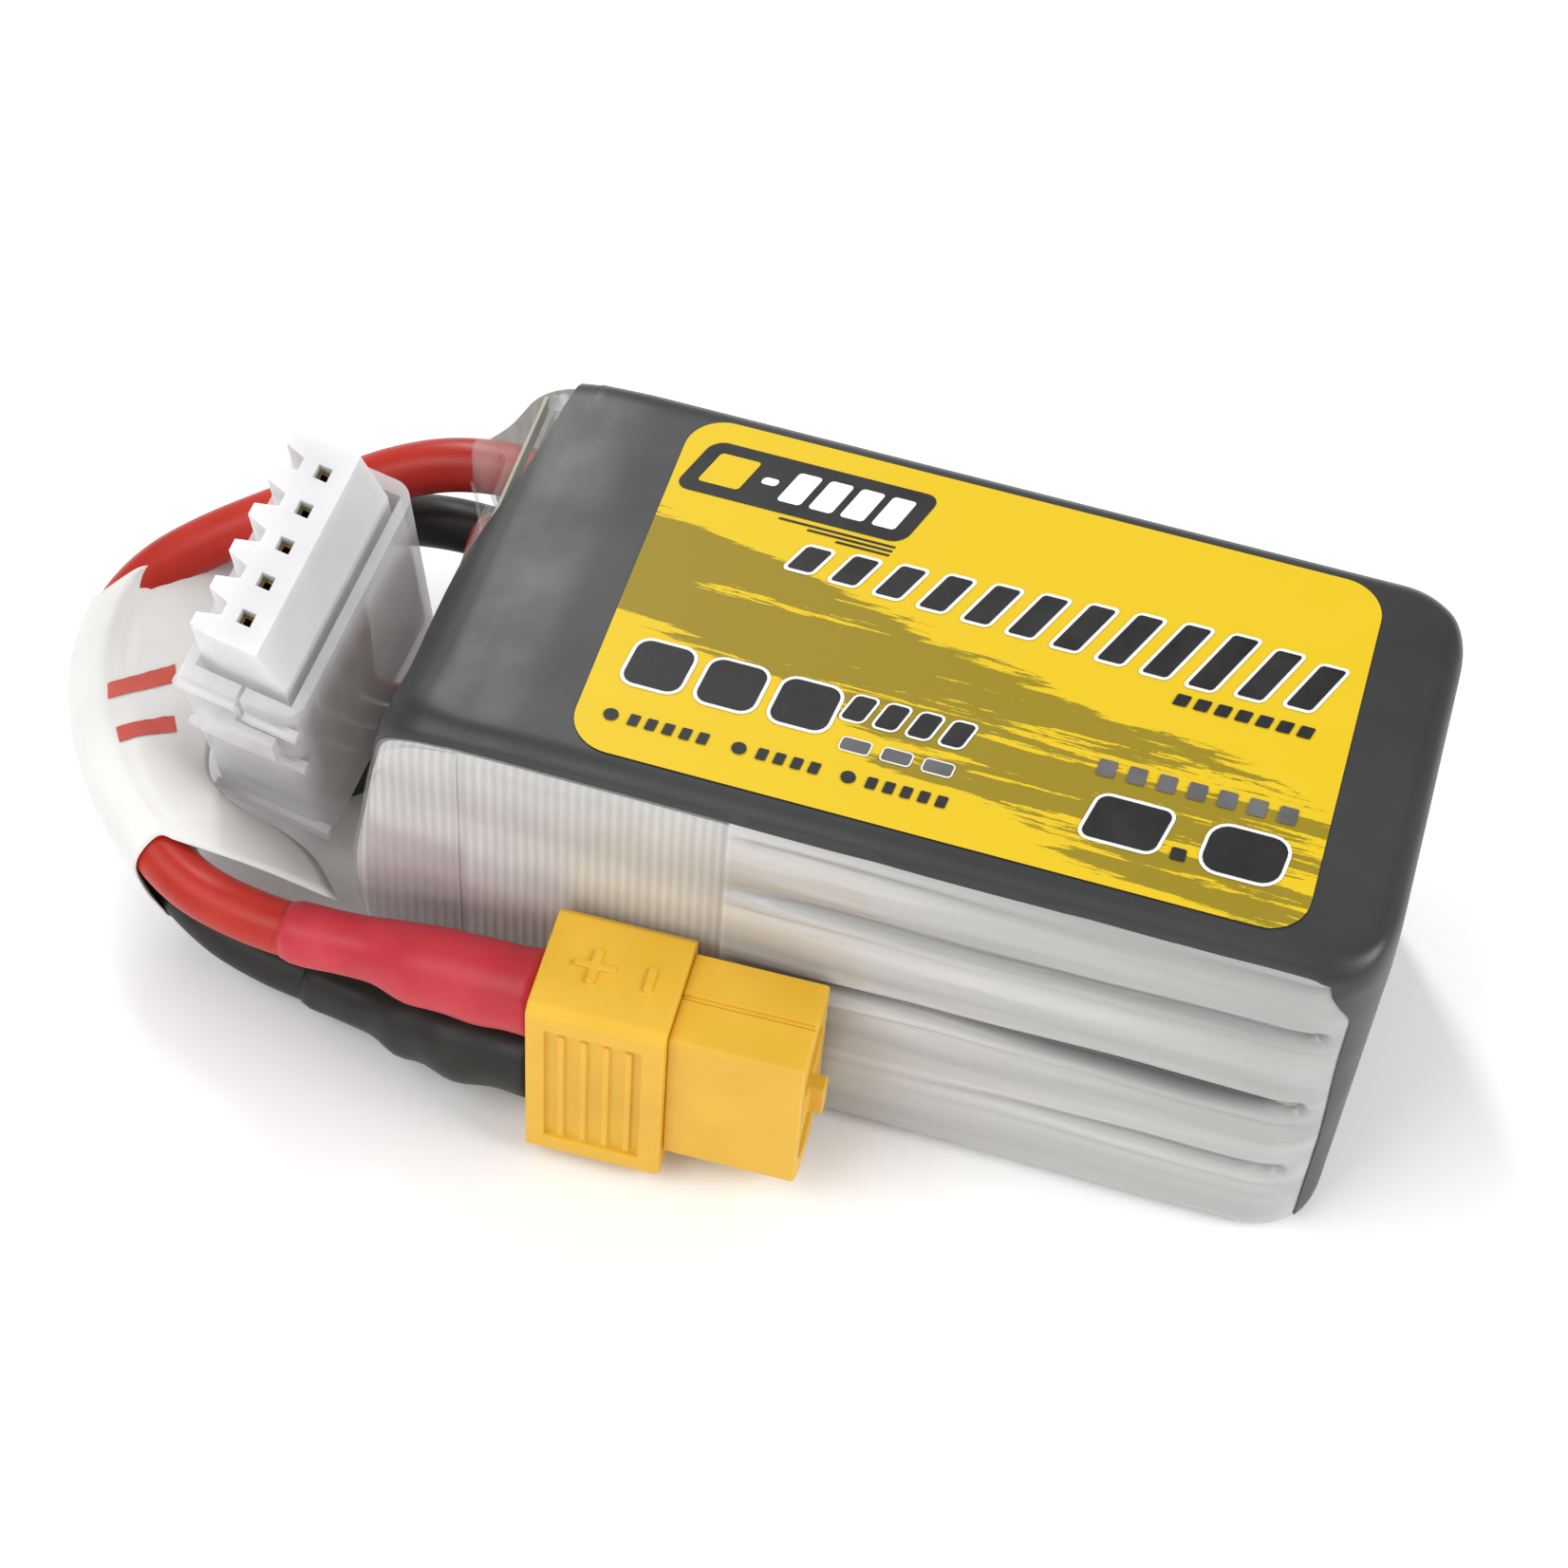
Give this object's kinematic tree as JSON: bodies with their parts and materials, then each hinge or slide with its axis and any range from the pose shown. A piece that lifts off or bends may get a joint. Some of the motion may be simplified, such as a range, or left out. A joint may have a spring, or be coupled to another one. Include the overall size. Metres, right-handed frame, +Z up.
{
  "type": "lipo battery pack",
  "caption": "Flat brick of stacked pouch cells in clear film and printed wrap, with power leads to a two-pole plug and balance wires to a plug in a hinged clip.",
  "frame": {"origin": "centre of the wrapped pack's underside, which lies on a surface", "axes": "+X along the pack away from the leads, +Z up through the stack of cells"},
  "size_m": [0.0855, 0.0392, 0.0363],
  "materials": {
    "pouch_foil": "satin laminate foil",
    "cell_glue": "satin adhesive sheet",
    "tab_metal": "bright metal strip and solder",
    "terminal_board": "satin fibreglass board",
    "end_paper": "matt insulating paper",
    "end_pad": "matt foam",
    "filament_tape": "ribbed translucent tape",
    "shrink_sleeve": "glossy clear film",
    "label_wrap": "satin dark grey print",
    "label_panel": "satin yellow print",
    "red_silicone": "satin silicone",
    "black_silicone": "satin silicone",
    "red_lead_shrink": "satin heat-shrink",
    "black_lead_shrink": "satin heat-shrink",
    "plug_nylon": "satin glass-filled nylon",
    "gold_plate": "polished gold plating",
    "lead_tag": "matt coated paper",
    "balance_plug": "satin nylon",
    "clip_plastic": "frosted translucent plastic"
  },
  "bodies": {
    "pack": {"cell_1": "pouch_foil", "cell_2": "pouch_foil", "cell_3": "pouch_foil", "cell_4": "pouch_foil", "cell_glue": "cell_glue", "tab_positive": "tab_metal", "tab_negative": "tab_metal", "tab_link_1": "tab_metal", "tab_link_2": "tab_metal", "tab_link_3": "tab_metal", "terminal_board": "terminal_board", "board_solder": "tab_metal", "end_paper": "end_paper", "end_pad": "end_pad", "filament_tape": "filament_tape", "shrink_sleeve": "shrink_sleeve", "label_wrap": "label_wrap", "label_panel": "label_panel", "red_lead": "red_silicone", "black_lead": "black_silicone", "red_lead_shrink": "red_lead_shrink", "black_lead_shrink": "black_lead_shrink", "plug_cap": "plug_nylon", "plug_body": "plug_nylon", "plug_contact_positive": "gold_plate", "plug_contact_negative": "gold_plate", "lead_tag": "lead_tag", "balance_wire_1": "red_silicone", "balance_wire_2": "black_silicone", "balance_wire_3": "black_silicone", "balance_wire_4": "black_silicone", "balance_wire_5": "black_silicone", "balance_plug": "balance_plug", "balance_contacts": "gold_plate", "clip_shell": "clip_plastic"},
    "clip_lid": {"clip_lid": "clip_plastic"}
  },
  "joints": [
    {"name": "clip_lid_hinge", "type": "hinge", "parent": "pack", "child": "clip_lid", "pos_m": [-0.04118, 0.00454, 0.0267], "axis": [-0.0643, 0.3182, -0.9458], "range_deg": [0, 90]}
  ]
}
